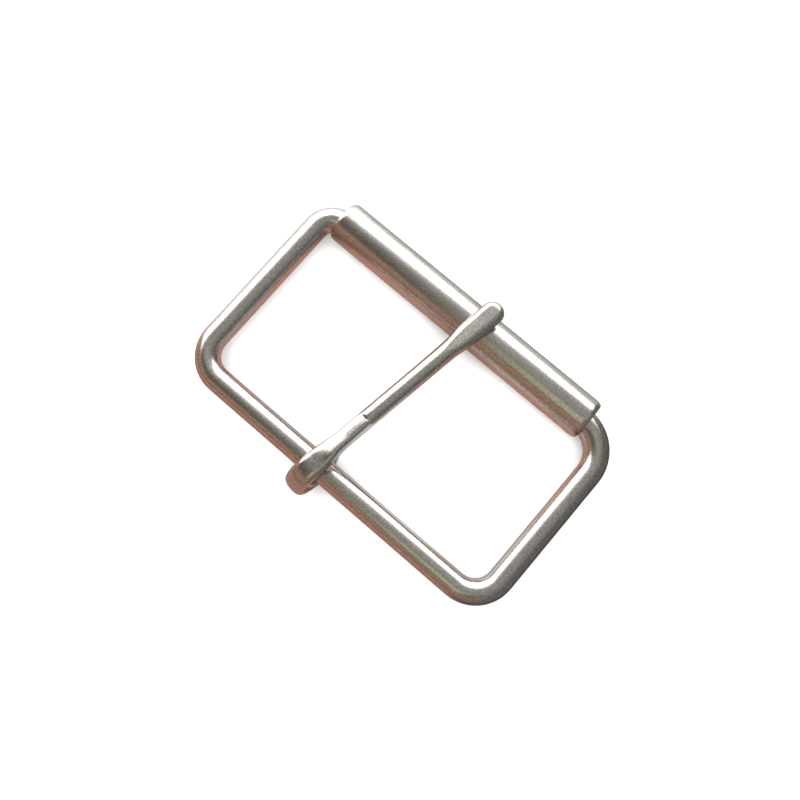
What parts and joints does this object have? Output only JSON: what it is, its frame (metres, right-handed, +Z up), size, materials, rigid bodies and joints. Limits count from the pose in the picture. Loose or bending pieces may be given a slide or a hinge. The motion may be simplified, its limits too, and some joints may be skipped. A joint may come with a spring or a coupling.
{
  "type": "roller buckle",
  "caption": "Wire strap buckle: a rounded rectangular loop with a prong hinged on its plain bar and a loose tube roller on its far bar.",
  "frame": {"origin": "middle of the bottom of the whole buckle's box, on the surface that it lies on", "axes": "+X along the plain bar and the roller's bar, +Y from the plain bar to the roller, +Z up from the surface"},
  "size_m": [0.0576, 0.0394, 0.0094],
  "materials": {
    "frame_wire": "tumbled to a satin polish",
    "roller_tube": "satin polish with fine speckle",
    "prong_wire": "satin polish, pressed faces smoother"
  },
  "bodies": {
    "frame": {"frame": "frame_wire"},
    "roller": {"roller": "roller_tube"},
    "prong": {"prong": "prong_wire"}
  },
  "joints": [
    {"name": "roller_spin", "type": "hinge", "parent": "frame", "child": "roller", "pos_m": [0, 0.01556, 0.0032], "axis": [1, 0, 0], "continuous": true},
    {"name": "prong_pivot", "type": "hinge", "parent": "frame", "child": "prong", "pos_m": [0, -0.01453, 0.00409], "axis": [1, 0, 0], "range_deg": [0, 170]}
  ]
}
